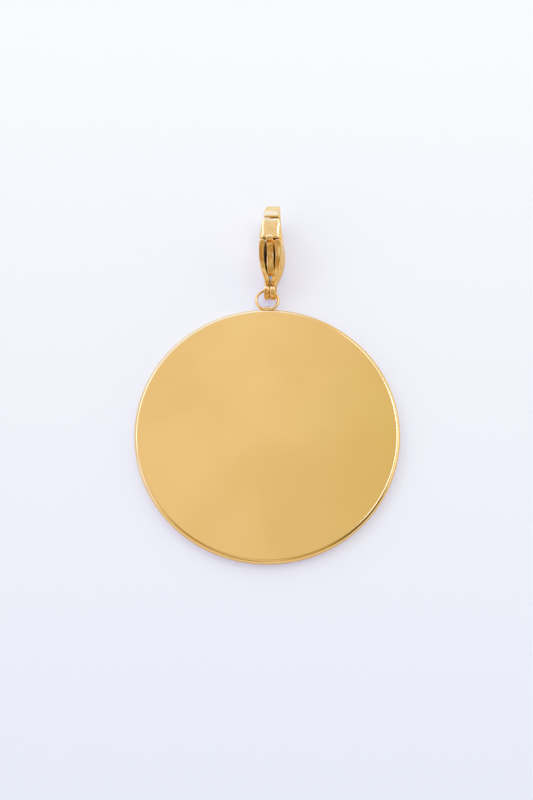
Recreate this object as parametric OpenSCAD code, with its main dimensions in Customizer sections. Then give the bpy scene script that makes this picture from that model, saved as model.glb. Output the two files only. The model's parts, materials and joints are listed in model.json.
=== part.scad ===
// Round flat pendant with a soldered eye ring and a lobster clasp, lying on a table.
// The disc lies flat, with the centre of its underside at the origin.
// The clasp stands on its spine behind the disc, linked through the eye ring, lever side up.
// A clasp piece is drawn with x across the clasp, y along it from the ears, and z from its spine.

/* [Disc] */
// Diameter of the disc
disc_d = 35; // [32:0.5:40]
// Thickness of the disc
disc_t = 1.3; // [1.2:0.05:1.5]
// Radius of the rounded rim
rim_r = 0.45; // [0.25:0.05:0.5]

/* [Eye ring] */
// Outer diameter of the eye ring
eye_d = 3.2; // [3.15:0.05:3.3]
// Diameter of the ring's wire
eye_wire = 0.38; // [0.34:0.02:0.4]
// Width of the solder that joins the ring to the rim
solder_w = 1.25; // [1:0.05:1.5]

/* [Clasp] */
// Length of the clasp from the end of the ears to the end of the hook
clasp_l = 12.55; // [12.4:0.05:12.9]
// Height of the clasp from its spine to the top of the gate
clasp_h = 5.8; // [5.76:0.02:5.9]
// Thickness of each ear
ear_t = 0.67; // [0.6:0.01:0.7]
// Diameter of the holes in the ears
ear_bore = 1.66; // [1.64:0.02:1.7]
// Sideways lean of the clasp, in degrees
clasp_lean = 6.5; // [5:0.5:7]
// Turn of the clasp to the right, in degrees
clasp_turn = 2.9; // [2.5:0.1:3.5]

/* [Lever] */
// Thickness of the lever's tongue, between the cheeks
tongue_t = 0.95; // [0.85:0.05:1.05]
// Diameter of the rivet that the lever turns on
rivet_d = 0.8; // [0.7:0.05:0.9]
// Gap between the gate's tip and the nose
tip_gap = 0.2; // [0.12:0.02:0.24]

/* [Hidden] */
$fn = 64;

gold = "goldenrod";
fit = 0.03;            // radial clearance round the rivet
corner_steps = 3;      // facets in each rounded corner of a section
corner_share = 0.495;  // largest share of a section's side that a rounded corner takes

// Eye ring: its outer edge is sunk into the rim, and its wire lies level with the rim's upper edge
eye_mean_r = (eye_d - eye_wire) / 2;
eye_sink = 0.27;
eye_y = disc_d / 2 + eye_d / 2 - eye_sink;
eye_z = 1.03;
solder_r = 0.3;
solder_out = 0.22;     // distance of the solder from the rim
solder_drop = 0.06;    // how far the solder lies below the ring's middle

// Ears of the clasp
ear_r = 1.15;
ear_gap = 0.15;        // slit between the two ears
ear_bend = 0.17;       // how far the ears stand to the left of the clasp's middle
bend_start = 0.7;      // the neck is bent between these two places
bend_end = 1.7;
ear_edge = 0.1;        // chamfer round each ear

// Place of the clasp: the middle of its ears, and the height that rests its leaning spine on the table
clasp_x = 0.71;
link_y = 1.15;         // from the middle of the eye ring to the middle of the ears
clasp_y = eye_y + link_y;
spine_half = 1.32;     // half width of the spine where it rests
band_corner = 0.1;     // rounding along the edges of the spine and hook
clasp_lift = (spine_half - band_corner) * sin(clasp_lean) + band_corner * (1 - cos(clasp_lean));

// Hook
hook_r = clasp_h / 2;
hook_y = clasp_l - ear_r - hook_r;
hook_steps = 18;       // facets round the hook

// Lever
pivot_y = 3.1;
pivot_z = 3.0;
gate_t = 1.0;
gate_start = 5.85;     // where the gate begins on the clasp's top
gate_end = 8.7;        // where it ends
gate_heel_r = norm([gate_start - pivot_y, clasp_h - gate_t - pivot_z]);
gate_tip_r = norm([gate_end - pivot_y, clasp_h - pivot_z]);
cheek_gap = 0.08;      // gap between the cheeks' front edges and the gate
spine_top = 1.15;      // height of the spine in front of the cheeks
tongue_corner = 0.16;
cheek_corner = 0.28;
rivet_l = 2.9;
cutter_l = 6;          // length of what cuts bores and gaps, longer than the clasp is wide

// Sections through one cheek, from the ear to the front edge
// Each is level with y at half its height, and leans back by its slant for each millimetre of height
CHEEK = [
    // y    low   high  inner  outer  slant
    [0.30, 0.40, 1.90, 0.08, 0.73, 0.00],
    [0.85, 0.36, 2.12, 0.08, 0.74, 0.15],
    [1.35, 0.36, 2.42, 0.12, 0.80, 0.35],
    [1.75, 0.34, 2.85, 0.30, 0.95, 0.45],
    [2.10, 0.26, 3.45, 0.52, 1.15, 0.50],
    [2.28, 0.18, 3.86, 0.61, 1.23, 0.47],
    [2.50, 0.11, 4.20, 0.68, 1.30, 0.42],
    [2.85, 0.06, 4.56, 0.73, 1.38, 0.35],
    [3.35, 0.03, 4.93, 0.76, 1.45, 0.26],
    [4.10, 0.03, 5.30, 0.77, 1.50, 0.14],
    [5.00, 0.03, 5.58, 0.77, 1.50, 0.05],
    [5.80, 0.03, 5.74, 0.77, 1.47, 0.00],
    [6.60, 0.03, 5.74, 0.77, 1.34, 0.00]
];

// Sections through the spine, from between the cheeks to the start of the hook
SPINE = [
    // y    low   high  half width
    [2.85, 0.30, 0.85, 0.95],
    [3.40, 0.08, 0.90, 1.18],
    [4.10, 0.00, 0.95, spine_half],
    [5.80, 0.00, 1.10, spine_half],
    [7.30, 0.00, 1.22, 1.14]
];

// Half width of the hook by angle, from the spine round the far end to the nose
HOOK_HALF = [
    // angle  half width
    [-90, 0.98],
    [-70, 0.78],
    [-50, 0.71],
    [-30, 0.74],
    [0, 0.80],
    [30, 0.87],
    [60, 0.99],
    [90, 1.07]
];

// Inner radius of the hook by angle
HOOK_INNER = [
    // angle  inner radius
    [-90, 1.65],
    [0, 1.68],
    [90, 1.84]
];

// Sections through the lever's tongue, from its tail to the thumb tab
TONGUE = [
    // y    low   high  share of the thickness
    [1.45, 3.25, 3.55, 0.50],
    [1.50, 3.00, 3.95, 0.76],
    [1.64, 2.70, 4.35, 0.86],
    [1.95, 2.35, 4.64, 0.94],
    [2.50, 2.05, 4.76, 1.00],
    [3.30, 2.00, 4.86, 1.00],
    [4.20, 2.45, 4.96, 1.00],
    [4.98, 3.30, 5.10, 1.00],
    [5.30, 3.75, 5.52, 1.00],
    [5.58, 4.15, 6.15, 1.00],
    [5.72, 4.40, 6.29, 1.00],
    [5.95, 4.80, 6.35, 0.97],
    [6.15, 5.00, 6.33, 0.88],
    [6.30, 5.10, 6.24, 0.72],
    [6.37, 5.25, 6.08, 0.48]
];

// Sections through the gate, whose sides slope out below a narrow waist
GATE = [
    // y    half width on top, half width below, drop between them
    [gate_start, 1.27, 1.48, 0.26],
    [6.20, 1.06, 1.43, 0.46],
    [6.65, 1.00, 1.37, 0.50],
    [7.25, 1.06, 1.29, 0.34],
    [7.90, 1.12, 1.22, 0.13],
    [8.30, 1.10, 1.20, 0.12],
    [8.62, 0.86, 1.02, 0.12],
    [9.00, 0.72, 0.90, 0.12]
];
gate_edge = 0.12;      // chamfer along the gate's lower edges

// Corner points of a box with rounded corners
function round_box(x0, x1, y0, y1, r) =
    let (
        c = min(r, corner_share * (x1 - x0), corner_share * (y1 - y0)),
        centres = [[x1 - c, y1 - c], [x0 + c, y1 - c], [x0 + c, y0 + c], [x1 - c, y0 + c]]
    )
    [for (q = [0:3]) for (k = [0:corner_steps])
        let (a = 90 * (q + k / corner_steps))
        centres[q] + c * [cos(a), sin(a)]];

// How far the neck is bent sideways at y
function bend(y) = -ear_bend * min(1, max(0, (bend_end - y) / (bend_end - bend_start)));

// One cheek section, on the right side or mirrored to the left
function cheek_ring(s, side) =
    [for (p = round_box(side > 0 ? s[3] : -s[4], side > 0 ? s[4] : -s[3], s[1], s[2], cheek_corner))
        [p[0] + bend(s[0]), s[0] - s[5] * (p[1] - (s[1] + s[2]) / 2), p[1]]];

// One section through the band of the spine or hook, turned about the hook's axis at y
function band_ring(y, angle, inner, outer, half) =
    [for (p = round_box(-half, half, inner, outer, band_corner))
        [-p[0], y + p[1] * cos(angle), hook_r + p[1] * sin(angle)]];

function tongue_ring(s) =
    let (half = s[3] * tongue_t / 2)
    [for (p = round_box(-half, half, s[1], s[2], tongue_corner)) [p[0], s[0], p[1]]];

function gate_ring(s) =
    let (
        low = clasp_h - gate_t,
        right = [[s[2] - gate_edge, low], [s[2], low + gate_edge], [s[2], clasp_h - s[3]], [s[1], clasp_h]],
        left = [for (k = [3:-1:0]) [-right[k][0], right[k][1]]]
    )
    [for (p = concat(right, left)) [p[0], s[0], p[1]]];

// One closed solid through rings that have the same number of points
module loft(rings) {
    n = len(rings[0]);
    last = len(rings) - 1;
    sides = [for (i = [0:last - 1]) for (k = [0:n - 1])
        let (a = i * n + k, b = i * n + (k + 1) % n)
        each [[a, b, b + n], [a, b + n, a + n]]];
    polyhedron(
        points = [for (ring = rings) each ring],
        faces = concat([[for (k = [n - 1:-1:0]) k]], sides, [[for (k = [0:n - 1]) last * n + k]])
    );
}

// Flat round plate with a rounded rim
module plate() {
    rotate_extrude($fn = 180) {
        square([disc_d / 2 - rim_r, disc_t]);
        translate([0, rim_r]) square([disc_d / 2, disc_t - 2 * rim_r]);
        for (z = [rim_r, disc_t - rim_r])
            translate([disc_d / 2 - rim_r, z]) circle(rim_r);
    }
}

// Ring of round wire
module eye() {
    translate([0, eye_y, eye_z])
        rotate_extrude($fn = 96) translate([eye_mean_r, 0]) circle(d = eye_wire, $fn = 32);
}

// Bar of solder that fills the foot of the ring
module solder() {
    end_x = solder_w / 2 - solder_r;
    translate([0, disc_d / 2 + solder_out, eye_z - solder_drop]) {
        rotate([0, 90, 0]) cylinder(r = solder_r, h = 2 * end_x, center = true, $fn = 32);
        for (side = [-1, 1])
            translate([side * end_x, 0, 0]) sphere(r = solder_r, $fn = 32);
    }
}

module disc() {
    color(gold) {
        plate();
        eye();
        solder();
    }
}

// Puts a piece of the clasp where the clasp stands
module in_clasp() {
    translate([clasp_x, clasp_y, clasp_lift])
        rotate([0, 0, -clasp_turn]) rotate([0, -clasp_lean, 0]) children();
}

// Puts a round shape on the lever's pivot, with its axis across the clasp
module on_pivot() {
    translate([0, pivot_y, pivot_z]) rotate([0, 90, 0]) children();
}

module ear(side) {
    translate([side * (ear_gap + ear_t) / 2 - ear_bend, 0, ear_r]) rotate([0, 90, 0]) {
        cylinder(r = ear_r, h = ear_t - 2 * ear_edge, center = true);
        for (turn = [0, 180])
            rotate([turn, 0, 0]) translate([0, 0, ear_t / 2 - ear_edge])
                cylinder(r1 = ear_r, r2 = ear_r - ear_edge, h = ear_edge);
    }
}

module cheek(side) {
    difference() {
        loft([for (s = CHEEK) cheek_ring(s, side)]);
        heel_path();
    }
}

// Spine, hook and nose in one band
module band() {
    difference() {
        loft(concat(
            [for (s = SPINE) band_ring(s[0], -90, hook_r - s[2], hook_r - s[1], s[3])],
            [for (k = [0:hook_steps]) let (a = -90 + 180 * k / hook_steps)
                band_ring(hook_y, a, lookup(a, HOOK_INNER), hook_r, lookup(a, HOOK_HALF))]
        ));
        tip_path();
    }
}

// Two cheeks that end in ears, joined by the band
module clasp_body() {
    color(gold) in_clasp() difference() {
        union() {
            for (side = [-1, 1]) {
                ear(side);
                cheek(side);
            }
            band();
        }
        translate([0, 0, ear_r]) rotate([0, 90, 0]) cylinder(d = ear_bore, h = cutter_l, center = true);
        on_pivot() cylinder(d = rivet_d + 2 * fit, h = cutter_l, center = true);
    }
}

// Space in front of the cheeks that the heel of the gate swings through
module heel_path() {
    difference() {
        translate([-cutter_l / 2, pivot_y, spine_top]) cube([cutter_l, hook_y, clasp_h]);
        translate([-cutter_l, 0, pivot_z]) cube([2 * cutter_l, gate_start - cheek_gap, clasp_h]);
        on_pivot() cylinder(r = gate_heel_r - cheek_gap, h = 2 * cutter_l, center = true);
    }
}

// Space behind the nose that the gate's tip swings through
module tip_path() {
    intersection() {
        on_pivot() cylinder(r = gate_tip_r + tip_gap, h = cutter_l, center = true);
        translate([-cutter_l / 2, pivot_y, pivot_z]) cube([cutter_l, hook_y, clasp_h]);
    }
}

// Tongue between the cheeks, with the thumb tab and the gate in one piece
module lever() {
    color(gold) in_clasp() difference() {
        union() {
            loft([for (s = TONGUE) tongue_ring(s)]);
            intersection() {
                loft([for (s = GATE) gate_ring(s)]);
                on_pivot() cylinder(r = gate_tip_r, h = cutter_l, center = true);
            }
        }
        on_pivot() cylinder(d = rivet_d + 2 * fit, h = cutter_l, center = true);
    }
}

// Rivet through both cheeks
module rivet() {
    color(gold) in_clasp() on_pivot() cylinder(d = rivet_d, h = rivet_l, center = true);
}

disc();
clasp_body();
lever();
rivet();
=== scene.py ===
"""Round gold disc pendant with a soldered eye ring and a lobster clasp, lying on a pale table."""

import json
import math

import bmesh
import bpy
from mathutils import Matrix, Vector


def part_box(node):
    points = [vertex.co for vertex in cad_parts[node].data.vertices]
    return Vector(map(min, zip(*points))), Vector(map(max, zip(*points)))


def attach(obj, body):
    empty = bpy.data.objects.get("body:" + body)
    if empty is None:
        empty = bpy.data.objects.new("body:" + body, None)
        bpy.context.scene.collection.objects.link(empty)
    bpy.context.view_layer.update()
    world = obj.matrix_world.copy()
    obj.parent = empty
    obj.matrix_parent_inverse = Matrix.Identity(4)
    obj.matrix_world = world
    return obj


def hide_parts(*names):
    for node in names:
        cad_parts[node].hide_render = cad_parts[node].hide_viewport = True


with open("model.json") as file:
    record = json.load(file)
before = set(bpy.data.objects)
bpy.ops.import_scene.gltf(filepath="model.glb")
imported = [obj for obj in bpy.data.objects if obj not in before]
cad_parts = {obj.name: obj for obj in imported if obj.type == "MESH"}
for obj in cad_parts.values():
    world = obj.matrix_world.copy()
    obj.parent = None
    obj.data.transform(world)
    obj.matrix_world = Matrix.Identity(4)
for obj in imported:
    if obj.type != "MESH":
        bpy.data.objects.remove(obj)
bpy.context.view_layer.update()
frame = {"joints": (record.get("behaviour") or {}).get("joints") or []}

# Disc
# A flat round plate stamped from brass sheet. Its rim is rounded over, and the whole plate is
# polished to a mirror before it is gold plated. It lies on its back on the table.
MM = 0.001                                  # pieces are drawn in millimetres, and the frame is in metres
weld = 0.0005                               # points that lie closer than this are one
disc_low, disc_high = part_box("disc")
disc_r = (disc_high.x - disc_low.x) / 2 / MM
disc_t = (disc_high.z - disc_low.z) / MM
disc_sides = 256
rim_r = 0.45
face_margin = 0.06                          # narrow flat band that keeps the rim's shading off the face

GOLD = (0.95, 0.67, 0.27, 1.0)              # thin bright plating, in linear light
EDGE_GOLD = (1.0, 0.80, 0.48, 1.0)          # gold keeps some of its colour where it is seen at a low angle


def made(result, kind):
    """The elements of one kind that an operator made."""
    return [item for item in result["geom"] if isinstance(item, kind)]


def extruded(bm, faces):
    """Extrudes faces and returns the new vertices and faces. Faces that would lie inside are gone."""
    edges = list(dict.fromkeys(edge for face in faces for edge in face.edges))
    result = bmesh.ops.extrude_face_region(bm, geom=faces + edges)
    return made(result, bmesh.types.BMVert), made(result, bmesh.types.BMFace)


def edges_at(bm, test):
    """Edges whose two ends both pass the test."""
    return [edge for edge in bm.edges if all(test(vert.co) for vert in edge.verts)]


def rounded(bm, edges, radius, steps):
    """Rounds edges over to a radius, in so many steps."""
    bmesh.ops.bevel(bm, geom=edges, offset=radius, segments=steps, profile=0.5, affect="EDGES", material=-1)


def round_blank(radius, length, sides, rim, steps):
    """A round plate or pin that stands on its end, with both its rims rounded over."""
    bm = bmesh.new()
    bmesh.ops.create_circle(bm, cap_ends=True, radius=radius, segments=sides)
    top = extruded(bm, bm.faces[:])[0]
    bmesh.ops.translate(bm, verts=top, vec=(0, 0, length))
    rims = edges_at(bm, lambda co: co.z > length / 2) + edges_at(bm, lambda co: co.z < length / 2)
    rounded(bm, rims, rim, steps)
    return bm


def finished_object(bm, name, materials, place=Matrix.Identity(4)):
    """Puts a mesh drawn in millimetres at its place, in metres, as a smooth object."""
    bmesh.ops.remove_doubles(bm, verts=bm.verts, dist=weld)
    bmesh.ops.recalc_face_normals(bm, faces=bm.faces)
    bmesh.ops.transform(bm, matrix=Matrix.Scale(MM, 4) @ place, verts=bm.verts)
    mesh = bpy.data.meshes.new(name)
    bm.to_mesh(mesh)
    bm.free()
    mesh.shade_smooth()
    for material in materials:
        mesh.materials.append(material)
    piece = bpy.data.objects.new(name, mesh)
    bpy.context.scene.collection.objects.link(piece)
    return piece


def added(tree, kind, inputs, **settings):
    """Adds a shader node with its settings, and sets or links its named inputs."""
    node = tree.nodes.new("ShaderNode" + kind)
    for name, value in settings.items():
        setattr(node, name, value)
    for name, value in inputs.items():
        if isinstance(value, bpy.types.NodeSocket):
            tree.links.new(value, node.inputs[name])
        else:
            node.inputs[name].default_value = value
    return node


def mixed(tree, share, first, second):
    """A colour that goes from the first to the second with the share."""
    node = added(tree, "Mix", {"Factor": share, "A": first, "B": second}, data_type="RGBA")
    return node.outputs["Result"]


def ramped(tree, value, start, end, top=1.0, style="SMOOTHSTEP"):
    """Rises from 0 to the top while the value goes from start to end."""
    node = added(tree, "MapRange", {"Value": value, "From Min": start, "From Max": end, "To Max": top},
                 interpolation_type=style)
    return node.outputs["Result"]


def plating_group():
    """The finish that all the plated pieces share, in millimetres: soft patches where the gold is
    deeper, hairlines left by the buff, and slow waves with a fine grain under them."""
    patch_low, patch_high = 0.36, 0.66      # the noise rises between these from plain to deep gold
    line_low, line_high = 0.45, 0.75        # and between these to a full hairline
    group = bpy.data.node_groups.new("plating", "ShaderNodeTree")
    inputs = {
        "Place": "Vector", "Colour": "Color", "Deep Colour": "Color", "Patch Scale": "Float",
        "Roughness": "Float", "Haze": "Float", "Line Stretch": "Vector", "Line Depth": "Float",
        "Streaks": "Float", "Wave Scale": "Float", "Grain Scale": "Float", "Grain Share": "Float"}
    outputs = {"Colour": "Color", "Roughness": "Float", "Height": "Float"}
    for way, sockets in (("INPUT", inputs), ("OUTPUT", outputs)):
        for name, kind in sockets.items():
            group.interface.new_socket(name=name, in_out=way, socket_type="NodeSocket" + kind)
    given = group.nodes.new("NodeGroupInput").outputs
    result = group.nodes.new("NodeGroupOutput").inputs

    def noise(place, scale, detail, roughness=0.5):
        """Soft noise, where a higher detail and roughness break it up more."""
        node = added(group, "TexNoise", {"Vector": place, "Scale": scale, "Detail": detail,
                                         "Roughness": roughness})
        return node.outputs["Fac"]

    def plus_share(base, value, share):
        """The base with a share of the value added to it."""
        node = added(group, "Math", {0: value, 1: share, 2: base}, operation="MULTIPLY_ADD")
        return node.outputs["Value"]

    patch = ramped(group, noise(given["Place"], given["Patch Scale"], 2.0), patch_low, patch_high)
    drawn_out = added(group, "VectorMath", {0: given["Place"], 1: given["Line Stretch"]},
                      operation="MULTIPLY").outputs["Vector"]
    line = ramped(group, noise(drawn_out, 1.0, 3.0, 0.7), line_low, line_high, style="LINEAR")
    deep = plus_share(patch, line, given["Streaks"])
    colour = mixed(group, deep, given["Colour"], given["Deep Colour"])
    hazy = plus_share(given["Roughness"], patch, given["Haze"])
    rough = plus_share(hazy, line, given["Haze"])

    waves = noise(given["Place"], given["Wave Scale"], 1.0)
    grain = noise(given["Place"], given["Grain Scale"], 2.0)
    height = plus_share(plus_share(waves, grain, given["Grain Share"]), line, given["Line Depth"])

    group.links.new(colour, result["Colour"])
    group.links.new(rough, result["Roughness"])
    group.links.new(height, result["Height"])
    return group


plating = plating_group()


def plated(name, depth, finish):
    """A plated metal, whose finish fills the plating group's inputs. Its surface rises and falls by
    the depth, in millimetres."""
    material = bpy.data.materials.new(name)
    material.use_nodes = True
    tree = material.node_tree
    shader = tree.nodes["Principled BSDF"]
    shader.inputs["Metallic"].default_value = 1.0
    shader.inputs["Specular Tint"].default_value = EDGE_GOLD
    place = added(tree, "Mapping", {"Vector": added(tree, "TexCoord", {}).outputs["Object"],
                                    "Scale": (1 / MM, 1 / MM, 1 / MM)}).outputs["Vector"]
    surface = added(tree, "Group", {"Place": place, **finish}, node_tree=plating).outputs
    bump = added(tree, "Bump", {"Height": surface["Height"], "Distance": depth * MM})
    tree.links.new(surface["Colour"], shader.inputs["Base Color"])
    tree.links.new(surface["Roughness"], shader.inputs["Roughness"])
    tree.links.new(bump.outputs["Normal"], shader.inputs["Normal"])
    return material


bm = round_blank(disc_r, disc_t, disc_sides, rim_r, steps=8)
flats = [face for face in bm.faces if len(face.verts) == disc_sides]
bmesh.ops.inset_individual(bm, faces=flats, thickness=face_margin)

disc_gold = plated("disc_gold", depth=0.016, finish={
    "Colour": GOLD, "Deep Colour": (0.91, 0.625, 0.235, 1.0), "Patch Scale": 0.07,
    "Roughness": 0.07, "Haze": 0.03, "Line Stretch": (2.2, 9.0, 4.0), "Line Depth": 0.01,
    "Streaks": 0.0, "Wave Scale": 0.13, "Grain Scale": 3.0, "Grain Share": 0.004})

disc = finished_object(bm, "disc_plate", [disc_gold])
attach(disc, "pendant")
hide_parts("disc")

# Eye ring
# A ring of round drawn brass wire, closed and stood against the rim in the disc's plane. Its outer
# edge is sunk a little into the rim, where the solder holds it, and it is plated with the disc.
wire_d = 0.38
wire_sides = 20
ring_sides = 96
ring_sunk = 0.27                            # how far the ring reaches into the rim
ring_z = 1.03                               # height of the wire's middle over the table
ring_oval = 1.04                            # closing it left it a little wider than it is long
ring_outer_r = (disc_high.y / MM - disc_r + ring_sunk) / 2
ring_mean_r = ring_outer_r - wire_d / 2
ring_y = disc_high.y / MM - ring_outer_r

bm = bmesh.new()
bmesh.ops.create_circle(bm, radius=wire_d / 2, segments=wire_sides,
                        matrix=Matrix.Translation((ring_mean_r, 0, 0)) @ Matrix.Rotation(math.pi / 2, 4, "X"))
bmesh.ops.spin(bm, geom=bm.verts[:] + bm.edges[:], cent=(0, 0, 0), axis=(0, 0, 1), dvec=(0, 0, 0),
               angle=2 * math.pi, steps=ring_sides, use_merge=True)
bmesh.ops.scale(bm, vec=(ring_oval, 1, 1), verts=bm.verts)

ring_gold = plated("ring_gold", depth=0.010, finish={
    "Colour": GOLD, "Deep Colour": (0.86, 0.57, 0.20, 1.0), "Patch Scale": 0.9,
    "Roughness": 0.10, "Haze": 0.05, "Line Stretch": (6.0, 6.0, 20.0), "Line Depth": 0.05,
    "Streaks": 0.4, "Wave Scale": 1.4, "Grain Scale": 9.0, "Grain Share": 0.1})

eye_ring = finished_object(bm, "eye_ring", [ring_gold], Matrix.Translation((0, ring_y, ring_z)))
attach(eye_ring, "pendant")
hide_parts("disc")

# Solder
# A short bar of hard solder between the foot of the ring and the rim. Its edges and ends drew
# round as it set, and it is plated with the ring and the disc.
solder_w = 1.25
solder_d = 0.52
solder_round = 0.24
solder_out = 0.18                           # its middle lies this far outside the rim
solder_drop = 0.06                          # and this far below the wire's middle

bm = bmesh.new()
bmesh.ops.create_cube(bm, size=1)
bmesh.ops.scale(bm, vec=(solder_w, solder_d, solder_d), verts=bm.verts)
rounded(bm, bm.edges[:], solder_round, steps=5)

solder_gold = plated("solder_gold", depth=0.035, finish={
    "Colour": GOLD, "Deep Colour": (0.88, 0.60, 0.23, 1.0), "Patch Scale": 1.2,
    "Roughness": 0.17, "Haze": 0.08, "Line Stretch": (5.0, 5.0, 5.0), "Line Depth": 0.05,
    "Streaks": 0.2, "Wave Scale": 1.6, "Grain Scale": 8.0, "Grain Share": 0.15})

solder = finished_object(bm, "solder", [solder_gold],
                         Matrix.Translation((0, disc_r + solder_out, ring_z - solder_drop)))
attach(solder, "pendant")
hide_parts("disc")

# Clasp body
# One lost-wax casting in brass, gold plated: two ears, the neck, two cheeks with a channel between
# them, the spine, the hook and the nose. It stands on its spine, with its ears on the eye ring.

# It is drawn with x across it, y along it from the middle of the ears, and z up from the spine
ear_r = 1.15
ear_hole_r = 0.83
ear_sides = 16
ear_gap = 0.15
ear_t = 0.67
ear_bend = 0.17                             # how far the ears stand to the left of the clasp's middle
bend_start, bend_end = 0.7, 1.7             # the bend is full behind the first y, and gone past the second
neck_front = 0.7                            # the neck leaves the ear in front of this share of its radius
pivot_y, pivot_z = 3.1, 3.0                 # the rivet's place
cheek_front_r = 3.2                         # the cheeks' front edges are an arc about the rivet
cheek_front_y = 5.80                        # and have their top and their foot here
spine_start = 2.9                           # the spine runs right across from here on
hook_r = 2.9
hook_y = 8.5

CHEEK = [
    # y, bottom, channel's floor, top, inner x, outer x, how much the column leans back
    (1.35, 0.36, 0.86, 2.55, 0.09, 0.80, 0.14),
    (1.72, 0.34, 0.86, 3.05, 0.22, 0.98, 0.13),
    (2.15, 0.26, 0.86, 3.60, 0.48, 1.16, 0.15),
    (2.60, 0.11, 0.86, 4.15, 0.62, 1.30, 0.15),
    (3.10, 0.05, 0.86, 4.62, 0.68, 1.38, 0.13),
    (3.65, 0.03, 0.90, 4.99, 0.72, 1.44, 0.10),
    (4.25, 0.03, 0.95, 5.30, 0.76, 1.50, 0.06),
    (5.05, 0.03, 1.02, 5.58, 0.64, 1.50, 0.02),
    (cheek_front_y, 0.03, 1.10, 5.74, 0.60, 1.47, 0.00),
]
BAND = [
    # y, top, half width of the spine in front of the cheeks
    (6.60, 1.17, 1.25),
    (7.30, 1.22, 1.14),
    (7.90, 1.24, 1.06),
]
HOOK = [
    # angle on the outer arc, angle on the inner arc, inner arc's radius, half width
    (-90, -90, 1.65, 0.98),
    (-70, -70, 1.65, 0.78),
    (-50, -50, 1.66, 0.71),
    (-30, -30, 1.67, 0.74),
    (-10, -10, 1.68, 0.78),
    (10, 10, 1.70, 0.82),
    (30, 28, 1.74, 0.87),
    (50, 44, 1.78, 0.94),
    (66, 55, 1.81, 1.01),
    (76, 60, 1.82, 1.04),
]
NOSE_END = [(8.88, 5.655), (9.20, 4.60)]    # y and z of its face, which leans away from the gate below

edge_round = 0.12                           # polishing rounds the edges this much
nose_round = 0.04                           # less along the top of the nose's face
front_round = 0.32                          # and more on the cheeks' upright front edges
front_behind, front_before = 0.2, 0.6       # which lie at most this far behind and before the last row
front_climb = 1.0                           # and climb more than this from point to point
crease = math.radians(50)                   # edges that turn more than this are rounded
near = 0.01                                 # places closer than this count as the same
seam = 0.001                                # the two halves meet within this

# The clasp's lean and turn come from the lever's joint, whose axis runs across the clasp
hinge = frame["joints"][0]
across = -Vector(hinge["axis"])
along = Vector((0, 0, 1)).cross(across).normalized()
up = across.cross(along)
in_clasp = (Matrix.Translation(Vector(hinge["pos_m"]) / MM)
            @ Matrix((across, along, up)).transposed().to_4x4()
            @ Matrix.Translation((0, -pivot_y, -pivot_z)))


def between(table, column, key):
    """Value of a table's column at a key of its first column, on straight lines between the rows."""
    if key <= table[0][0]:
        return table[0][column]
    for low, high in zip(table, table[1:]):
        if key <= high[0]:
            share = (key - low[0]) / (high[0] - low[0])
            return low[column] + share * (high[column] - low[column])
    return table[-1][column]


def channel_floor(y):
    """Height of the channel's floor."""
    return between(CHEEK, 2, y)


def ring_cage(radius, sides):
    """Radius of a round cage that smoothing brings down to the radius."""
    return radius * 3 / (2 + math.cos(2 * math.pi / sides))


def about_rivet(radius, z):
    """The y of the front of a circle about the rivet at a height."""
    return pivot_y + math.sqrt(radius ** 2 - (z - pivot_z) ** 2)


def about_hook(radius, angle):
    """The y and z of a point on a circle about the hook's middle, at an angle in degrees."""
    turn = math.radians(angle)
    return hook_y + radius * math.cos(turn), hook_r + radius * math.sin(turn)


def nearest(verts, point):
    """The vertex closest to a point."""
    return min(verts, key=lambda vert: (vert.co - point).length_squared)


def pulled(bm, reach, column, points, widths):
    """Extrudes a column of vertices in the side view to new points, and notes their inner and outer x."""
    edges = [edge for edge in bm.edges if all(vert in column for vert in edge.verts)]
    fresh = made(bmesh.ops.extrude_edge_only(bm, edges=edges), bmesh.types.BMVert)
    fresh = [nearest(fresh, vert.co) for vert in column]
    for vert, (y, z) in zip(fresh, points):
        vert.co = (0, y, z)
        reach[vert] = widths
    return fresh


def has_no_channel(face):
    """Whether a face of the side view belongs to the spine or the hook, which run right across."""
    _, y, z = face.calc_center_median()
    return y > pivot_y + cheek_front_r or y > spine_start and z < channel_floor(y)


def creased(edges, angle):
    """Edges where two faces meet and turn by more than the angle."""
    return [edge for edge in edges if len(edge.link_faces) == 2 and edge.calc_face_angle() > angle]


# Side view of the right half: the ear, then the neck and the cheek column by column
bm = bmesh.new()
reach = {}                                  # each vertex's inner and outer x
facing_across = Matrix.Translation((0, 0, ear_r)) @ Matrix.Rotation(math.pi / 2, 4, "Y")
ear_rims = [bmesh.ops.create_circle(bm, radius=ring_cage(radius, ear_sides), segments=ear_sides,
                                    matrix=facing_across)["verts"] for radius in (ear_hole_r, ear_r)]
bmesh.ops.bridge_loops(bm, edges=bm.edges[:])
for vert in bm.verts:
    reach[vert] = (ear_gap / 2, ear_gap / 2 + ear_t)
column = sorted((vert for vert in ear_rims[1] if vert.co.y > neck_front * ear_r),
                key=lambda vert: vert.co.z)
for y, low, floor, high, inner, outer, lean in CHEEK:
    heights = [low] + [floor + (high - floor) * step / 3 for step in range(4)]
    points = [(y - lean * (z - (low + high) / 2), z) for z in heights]
    if y == cheek_front_y:
        points[1:4] = [(about_rivet(cheek_front_r, z), z) for z in heights[1:4]]
    column = pulled(bm, reach, column, points, (inner, outer))

# The foot of the last column runs on as the spine and round the hook to the nose
column = column[:2]
for y, top, half in BAND:
    column = pulled(bm, reach, column, [(y, 0), (y, top)], (half / 2, half))
for outer_angle, inner_angle, inner_r, half in HOOK:
    points = [about_hook(hook_r, outer_angle), about_hook(inner_r, inner_angle)]
    column = pulled(bm, reach, column, points, (half / 2, half))
pulled(bm, reach, column, NOSE_END, (half / 2, half))

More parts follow.
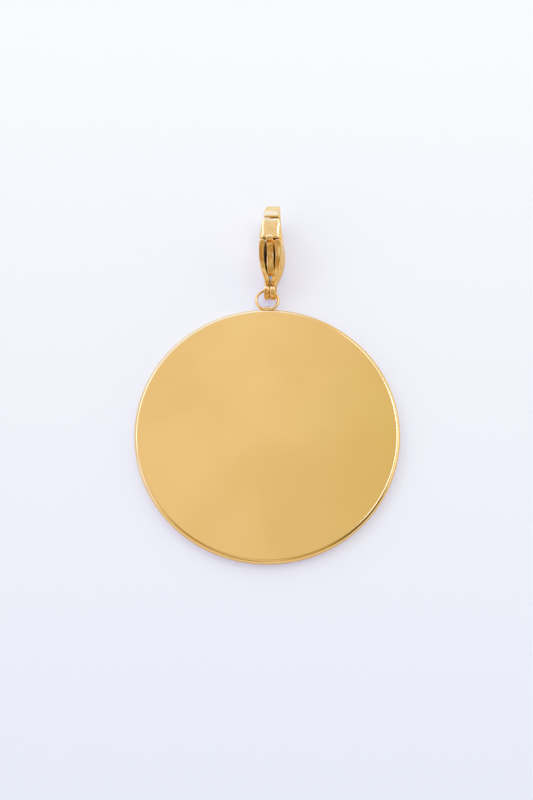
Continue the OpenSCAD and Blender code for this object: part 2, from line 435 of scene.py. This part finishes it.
# The side view gets its thickness, and the spine and hook reach on to the middle
for vert in bm.verts:
    vert.co.x = reach[vert][1]
outside = bm.verts[:]
inside, faces = extruded(bm, bm.faces[:])
for vert in inside:
    vert.co.x = reach[nearest(outside, vert.co)][0]
middle, faces = extruded(bm, [face for face in faces if has_no_channel(face)])
for vert in middle:
    vert.co.x = 0
bmesh.ops.delete(bm, geom=faces, context="FACES")

# The edges are rounded, the half is mirrored, and the ears are bent a little to the left
bmesh.ops.recalc_face_normals(bm, faces=bm.faces)
front = edges_at(bm, lambda co: (-front_behind < co.y - cheek_front_y < front_before
                                 and co.z > CHEEK[-1][2] - near))
front = [edge for edge in creased(front, crease)
         if abs(edge.verts[0].co.z - edge.verts[1].co.z) > front_climb]
rounded(bm, front, front_round, steps=2)
rounded(bm, edges_at(bm, lambda co: (co.yz - Vector(NOSE_END[0])).length < near), nose_round, steps=1)
rounded(bm, creased(bm.edges, crease), edge_round, steps=2)
bmesh.ops.mirror(bm, geom=bm.verts[:] + bm.edges[:] + bm.faces[:], matrix=Matrix.Identity(4),
                 merge_dist=seam, axis="X")
for vert in bm.verts:
    vert.co.x -= ear_bend * min(1, max(0, (bend_end - vert.co.y) / (bend_end - bend_start)))

clasp_gold = plated("clasp_gold", depth=0.020, finish={
    "Colour": GOLD, "Deep Colour": (0.90, 0.62, 0.23, 1.0), "Patch Scale": 0.55,
    "Roughness": 0.11, "Haze": 0.06, "Line Stretch": (9.0, 0.8, 2.5), "Line Depth": 0.18,
    "Streaks": 1.0, "Wave Scale": 0.9, "Grain Scale": 7.0, "Grain Share": 0.06})

# The bend of the hook is painted pale: a painted reflection of the bright north windows, which its upper
# curve faces
pale_sheen_gold = (0.98, 0.84, 0.53, 1.0)
sheen_y, sheen_z = 11.1, 4.2
sheen_r, sheen_edge_r = 1.1, 1.75         # fully pale within the first, and not at all past the second
tree = clasp_gold.node_tree
away = added(tree, "VectorMath", {0: tree.nodes["Mapping"].outputs["Vector"],
                                  1: in_clasp @ Vector((0, sheen_y, sheen_z))}, operation="DISTANCE")
sheen_share = ramped(tree, away.outputs["Value"], sheen_edge_r, sheen_r)
sheen_colour = mixed(tree, sheen_share, tree.nodes["Group"].outputs["Colour"], pale_sheen_gold)
tree.links.new(sheen_colour, tree.nodes["Principled BSDF"].inputs["Base Color"])

# The cheeks' tops, the tongue and the back of the ears were only buffed lengthways, and stay streaked. Their
# deeper orange colours are painted shade, for the gold these faces reflect of the clasp itself and of the
# dark things near the camera
buffed_shaded_gold = plated("buffed_shaded_gold", depth=0.020, finish={
    "Colour": (1.0, 0.73, 0.29, 1.0), "Deep Colour": (0.80, 0.46, 0.12, 1.0), "Patch Scale": 0.9,
    "Roughness": 0.14, "Haze": 0.06, "Line Stretch": (4.5, 0.6, 1.6), "Line Depth": 0.5,
    "Streaks": 1.0, "Wave Scale": 0.9, "Grain Scale": 7.0, "Grain Share": 0.06})

# Polishing wheels don't reach into the channel, so it and the tongue's flanks keep the mould's dull skin. Its
# dark brown colour is painted shade, for the shade deep in the slits
channel_skin_and_shade = plated("channel_skin_and_shade", depth=0.030, finish={
    "Colour": (0.40, 0.34, 0.27, 1.0), "Deep Colour": (0.26, 0.21, 0.16, 1.0), "Patch Scale": 0.8,
    "Roughness": 0.42, "Haze": 0.14, "Line Stretch": (3.0, 3.0, 3.0), "Line Depth": 0.1,
    "Streaks": 0.5, "Wave Scale": 1.5, "Grain Scale": 9.0, "Grain Share": 0.5})

POLISHED, BUFFED_SHADED, DULL_SHADED = range(3)           # places of a casting's three materials, the last two with painted shade
buffed_shaded_start = 2.0                          # the cheeks are buffed, with painted shade, from here on
ear_buffed_shaded = -0.15                          # and the ears behind here
buffed_shaded_rise = 0.4                           # where a cheek's normal rises more than this
channel_start = 2.07
channel_half = 0.85                         # its walls lie nearer the middle than this
wall_turn = 0.6                             # and their normal points to the middle more than this
floor_below, floor_above = 0.1, 0.2         # its floor lies this near to the heights in CHEEK


def in_channel(middle, normal):
    """Whether a face of the clasp, given by its middle and normal, is a wall or the floor of the channel."""
    height = middle.z - channel_floor(middle.y)
    inward = -normal.x if middle.x > 0 else normal.x
    return (channel_start < middle.y < cheek_front_y and abs(middle.x) < channel_half
            and height > -floor_below and (inward > wall_turn or height < floor_above))


bmesh.ops.recalc_face_normals(bm, faces=bm.faces)
# Faces take the polished gold, the buffed gold with its painted shade, or the dull skin with its darker
# painted shade
for face in bm.faces:
    middle = face.calc_center_median()
    on_cheek = buffed_shaded_start < middle.y < cheek_front_y + near and face.normal.z > buffed_shaded_rise
    if in_channel(middle, face.normal):
        face.material_index = DULL_SHADED
    elif on_cheek or middle.y < ear_buffed_shaded:
        face.material_index = BUFFED_SHADED
    else:
        face.material_index = POLISHED

clasp = finished_object(bm, "clasp_casting", [clasp_gold, buffed_shaded_gold, channel_skin_and_shade], in_clasp)
smooth = clasp.modifiers.new("cast_smooth", "SUBSURF")
smooth.levels = smooth.render_levels = 2
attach(clasp, "pendant")
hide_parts("clasp_body")

# Lever
# A second casting of plated brass, which works as the clasp's spring-loaded door: the tongue
# between the cheeks, the thumb tab that stands up at its front, and the gate that closes the hook.
clasp_h = 2 * hook_r
gate_t = 1.0
gate_start = 5.84
gate_tip_r = 6.261                          # the gate's tip is an arc about the rivet, clear of the nose
facet_in, facet_out = 0.12, 0.13            # a facet runs along the gate's top, this far in to this far out
facet_drop = 0.072
tab_start = 5.35
tab_facet = 0.14                            # a like facet runs along the tongue and over the tab
tab_drop, tongue_drop = 0.040, 0.055
flank_buffed_shaded = 0.25                         # the tongue's flanks are buffed this far down, and dull below; both carry painted shade
flank_turn = 0.8                            # a flank's normal points aside more than this
lever_crease = math.radians(10)
lever_round = 0.022

TONGUE = [
    # y, bottom, top, half width, shift to the right
    (1.46, 2.95, 3.60, 0.44, 0.15),
    (1.62, 2.60, 3.95, 0.46, 0.15),
    (2.10, 2.15, 4.38, 0.47, 0.12),
    (2.90, 1.98, 4.72, 0.475, 0.07),
    (3.60, 2.05, 4.90, 0.475, 0.04),
    (4.30, 2.48, 4.97, 0.475, 0.01),
    (4.95, 3.25, 5.10, 0.475, 0.00),
    (5.27, 3.70, 5.48, 0.475, 0.00),
    (5.52, 4.10, 6.12, 0.475, 0.00),
    (5.68, 4.40, 6.30, 0.475, 0.00),
    (5.96, 4.85, 6.33, 0.475, 0.00),
    (6.13, 4.95, 6.26, 0.44, 0.00),
    (6.26, 5.05, 6.17, 0.36, 0.00),
    (6.34, 5.15, 6.02, 0.27, 0.00),
    (6.38, 5.25, 5.86, 0.18, 0.00),
]
GATE = [
    # y, half width to the middle of the facet, half width below, drop between them
    (gate_start, 1.27, 1.48, 0.26),
    (6.20, 1.06, 1.47, 0.46),
    (6.65, 1.00, 1.43, 0.50),
    (7.25, 1.04, 1.34, 0.36),
    (7.90, 1.10, 1.26, 0.20),
    (8.30, 1.06, 1.22, 0.16),
    (8.70, 0.84, 1.03, 0.16),
]


def both_sides(right):
    """Corners of a section from its lower right round to its lower left, given its right half."""
    return right + [(-x, z) for x, z in reversed(right)]


def tongue_section(y, low, high, half, shift):
    """Corners of the section of the tongue, or of the tab at its front."""
    edge = high - (tab_drop if y > tab_start else tongue_drop)
    right = [(half, low), (half, edge - flank_buffed_shaded), (half, edge), (half - tab_facet, high)]
    return [(shift + x, y, z) for x, z in both_sides(right)]


def gate_section(y, top_half, low_half, drop):
    """Corners of the gate's section, on the tip's arc where it is the last one."""
    right = [(low_half, clasp_h - gate_t), (low_half, clasp_h - drop),
             (top_half + facet_out, clasp_h - facet_drop), (top_half - facet_in, clasp_h)]
    at_tip = y == GATE[-1][0]
    return [(x, about_rivet(gate_tip_r, z) if at_tip else y, z) for x, z in both_sides(right)]


def grown(bm, sections):
    """Extrudes a section's face through the other sections, which have as many corners."""
    face = bm.faces.new([bm.verts.new(point) for point in sections[0]])
    for section in sections[1:]:
        face = extruded(bm, [face])[1][0]
        for vert, point in zip(face.verts, section):
            vert.co = point


bm = bmesh.new()
grown(bm, [tongue_section(*row) for row in TONGUE])
grown(bm, [gate_section(*row) for row in GATE])
bmesh.ops.recalc_face_normals(bm, faces=bm.faces)
lengthways = [edge for edge in creased(bm.edges, lever_crease)
              if abs(edge.verts[0].co.y - edge.verts[1].co.y) > near]
rounded(bm, lengthways, lever_round, steps=1)

lever_gold = plated("lever_gold", depth=0.014, finish={
    "Colour": GOLD, "Deep Colour": (0.88, 0.59, 0.21, 1.0), "Patch Scale": 0.6,
    "Roughness": 0.10, "Haze": 0.05, "Line Stretch": (9.0, 0.9, 3.0), "Line Depth": 0.12,
    "Streaks": 0.5, "Wave Scale": 0.8, "Grain Scale": 7.0, "Grain Share": 0.05})

bm.normal_update()
# Faces take the polished gold, the buffed gold with its painted shade, or the dull skin with its darker
# painted shade
for face in bm.faces:
    middle = face.calc_center_median()
    low_down = middle.z < between(TONGUE, 2, middle.y) - flank_buffed_shaded
    if middle.y > tab_start:
        face.material_index = POLISHED
    elif low_down and abs(face.normal.x) > flank_turn:
        face.material_index = DULL_SHADED
    else:
        face.material_index = BUFFED_SHADED

lever = finished_object(bm, "lever_casting", [lever_gold, buffed_shaded_gold, channel_skin_and_shade], in_clasp)
smooth = lever.modifiers.new("cast_smooth", "SUBSURF")
smooth.levels = smooth.render_levels = 2
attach(lever, "lever")
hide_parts("lever")

# Rivet
# A pin of drawn brass wire through both cheeks and the tongue. Its ends are rounded over, and
# polished and plated with the cheeks.
rivet_r = 0.4
rivet_l = 2.9
rivet_sides = 32
rivet_round = 0.12

bm = round_blank(rivet_r, rivet_l, rivet_sides, rivet_round, steps=4)
bmesh.ops.translate(bm, verts=bm.verts, vec=(0, 0, -rivet_l / 2))
bmesh.ops.rotate(bm, verts=bm.verts, matrix=Matrix.Rotation(math.pi / 2, 3, "Y"))

rivet_gold = plated("rivet_gold", depth=0.012, finish={
    "Colour": GOLD, "Deep Colour": (0.86, 0.57, 0.20, 1.0), "Patch Scale": 1.5,
    "Roughness": 0.14, "Haze": 0.06, "Line Stretch": (4.0, 9.0, 9.0), "Line Depth": 0.1,
    "Streaks": 0.4, "Wave Scale": 2.0, "Grain Scale": 9.0, "Grain Share": 0.1})

rivet = finished_object(bm, "rivet_pin", [rivet_gold], in_clasp @ Matrix.Translation((0, pivot_y, pivot_z)))
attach(rivet, "pendant")
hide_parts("rivet")

# Studio
# A white card table in a pale room, with one long softbox overhead, windows to the north and the
# west, a pale wall to the east, and brown and dark things around the camera.
table_size = 4.0
near_y, far_y = -0.050, 0.058               # the card's painted light falloff runs between these
# Painted light: the paper is painted brighter towards the north and darker towards the camera, for the lamps'
# light falling off across the table
near_paper_lit = (0.889, 0.740, 0.365, 1)
far_paper_lit = (0.966, 0.850, 0.381, 1)
near_glow = (0.083, 0.212, 0.516, 1)        # painted light: the card glows cool, though it is no lamp, and fills the shadows on it
far_glow = (0.160, 0.242, 0.545, 1)

bm = bmesh.new()
bmesh.ops.create_grid(bm, x_segments=1, y_segments=1, size=table_size / 2)
mesh = bpy.data.meshes.new("table")
bm.to_mesh(mesh)
bm.free()
card = bpy.data.materials.new("white_card")
card.use_nodes = True
tree = card.node_tree
shader = tree.nodes["Principled BSDF"]
shader.inputs["Roughness"].default_value = 0.9
shader.inputs["Specular IOR Level"].default_value = 0.1
# Painted light: the emission makes the card glow, though it is no lamp
shader.inputs["Emission Strength"].default_value = 1.0
place = added(tree, "TexCoord", {}).outputs["Object"]
northward = added(tree, "SeparateXYZ", {"Vector": place}).outputs["Y"]
painted_falloff = ramped(tree, northward, near_y, far_y, style="LINEAR")
tree.links.new(mixed(tree, painted_falloff, near_paper_lit, far_paper_lit), shader.inputs["Base Color"])
tree.links.new(mixed(tree, painted_falloff, near_glow, far_glow), shader.inputs["Emission Color"])
mesh.materials.append(card)
table = bpy.data.objects.new("table", mesh)
bpy.context.scene.collection.objects.link(table)

CEILING = [
    # how far up the direction points, from 0 at the horizon to 1 overhead, colour
    (0.00, (0.80, 0.72, 0.66)),
    (0.50, (0.84, 0.77, 0.71)),
    (0.85, (0.90, 0.86, 0.86)),
    (0.94, (0.915, 0.86, 0.87)),
    (1.00, (0.86, 0.79, 0.74)),
]
ROOM = [
    # direction, half angle of the full patch, half angle where it ends, colour, strength
    # The ceiling, which is darker and warmer in places
    ((0.28, -0.05, 0.96), 10, 28, (0.60, 0.53, 0.30), 1.0),
    ((0.088, 0.295, 0.95), 1, 5, (0.72, 0.67, 0.42), 0.8),
    ((-0.22, 0.02, 0.975), 6, 15, (0.60, 0.51, 0.37), 1.0),
    # The windows, with their brightest panes
    ((-0.40, 0.80, 0.45), 28, 39, (1.02, 1.36, 2.80), 1.0),
    ((-0.80, 0.25, 0.52), 18, 34, (0.90, 0.98, 1.75), 1.0),
    ((-0.67, 0.31, 0.67), 4, 9, (2.1, 2.5, 4.4), 1.0),
    ((-0.64, 0.45, 0.62), 4, 8, (2.1, 2.5, 4.4), 1.0),
    ((-0.61, 0.56, 0.56), 4, 8, (2.1, 2.5, 4.4), 0.9),
    ((0.28, 0.55, 0.79), 3, 7, (2.4, 3.3, 6.5), 0.9),
    # The pale wall, and two low panes across from it
    ((0.84, 0.26, 0.46), 16, 28, (1.18, 1.26, 1.40), 1.0),
    ((-0.90, 0.00, 0.43), 4, 9, (1.5, 1.8, 3.3), 0.9),
    ((-0.87, -0.20, 0.45), 4, 9, (1.3, 1.5, 2.7), 0.7),
    # The brown and dark things around the camera
    ((-0.45, -0.42, 0.74), 8, 22, (0.46, 0.36, 0.22), 0.8),
    ((-0.38, -0.24, 0.89), 5, 10, (0.46, 0.22, 0.08), 0.9),
    ((-0.16, 0.03, 0.985), 3, 8, (0.36, 0.18, 0.06), 0.6),
    ((0.14, 0.03, 0.99), 3, 8, (0.28, 0.19, 0.07), 0.8),
    ((0.65, -0.39, 0.63), 15, 25, (0.06, 0.04, 0.02), 1.0),
    ((0.30, -0.66, 0.68), 9, 20, (0.42, 0.28, 0.12), 0.85),
    ((-0.22, -0.66, 0.70), 8, 19, (0.40, 0.28, 0.12), 0.7),
    ((-0.18, -0.88, 0.42), 8, 17, (0.45, 0.31, 0.14), 0.7),
]

world = bpy.data.worlds.new("studio")
bpy.context.scene.world = world
world.use_nodes = True
tree = world.node_tree
direction = added(tree, "TexCoord", {}).outputs["Generated"]
height = added(tree, "SeparateXYZ", {"Vector": direction}).outputs["Z"]
ceiling = added(tree, "ValToRGB", {"Fac": height})
stops = ceiling.color_ramp.elements
while len(stops) < len(CEILING):
    stops.new(1.0)
for stop, (position, colour) in zip(stops, CEILING):
    stop.position = position
    stop.color = (*colour, 1)
light = ceiling.outputs["Color"]
for towards, inner, outer, colour, strength in ROOM:
    closeness = added(tree, "VectorMath", {0: direction, 1: Vector(towards).normalized()},
                      operation="DOT_PRODUCT").outputs["Value"]
    patch = ramped(tree, closeness, math.cos(math.radians(outer)), math.cos(math.radians(inner)),
                   top=strength)
    light = mixed(tree, patch, light, (*colour, 1))
tree.links.new(light, tree.nodes["Background"].inputs["Color"])

# The softbox is long and narrow, and hangs askew above the far right side of the table
box_width, box_length, box_distance = 0.075, 0.26, 0.70
box_light = (2.8, 4.0, 10.5)                # what it sends out, in linear light
box_towards = Vector((0.260, 0.280, 0.925)).normalized()
box_lie = Vector((0.42, 0.90, 0))           # the way its long side runs, seen from above
box_across = box_lie.cross(box_towards).normalized()
box_data = bpy.data.lights.new("softbox", "AREA")
box_data.shape = "RECTANGLE"
box_data.size, box_data.size_y = box_width, box_length
box_data.color = box_light
box_data.energy = math.pi * box_width * box_length      # the power at which its colour is its brightness
box = bpy.data.objects.new("softbox", box_data)
box.matrix_world = (Matrix.Translation(box_towards * box_distance)
                    @ Matrix((box_across, box_towards.cross(box_across), box_towards)).transposed().to_4x4())
bpy.context.scene.collection.objects.link(box)

# The camera looks north and down at 72 degrees, from 35 centimetres away
camera_distance = 0.350
camera_elevation = math.radians(71.97)
camera_target = Vector((-0.000101, 0.005121, 0))
camera_back = Vector((0, -math.cos(camera_elevation), math.sin(camera_elevation)))
camera_data = bpy.data.cameras.new("camera")
camera_data.sensor_width = 36
camera_data.lens = 118.71
camera_data.clip_start = 0.01
camera = bpy.data.objects.new("camera", camera_data)
camera.matrix_world = (Matrix.Translation(camera_target + camera_distance * camera_back)
                       @ (-camera_back).to_track_quat("-Z", "Y").to_matrix().to_4x4())
bpy.context.scene.collection.objects.link(camera)
bpy.context.scene.camera = camera
bpy.context.scene.view_settings.view_transform = "Standard"
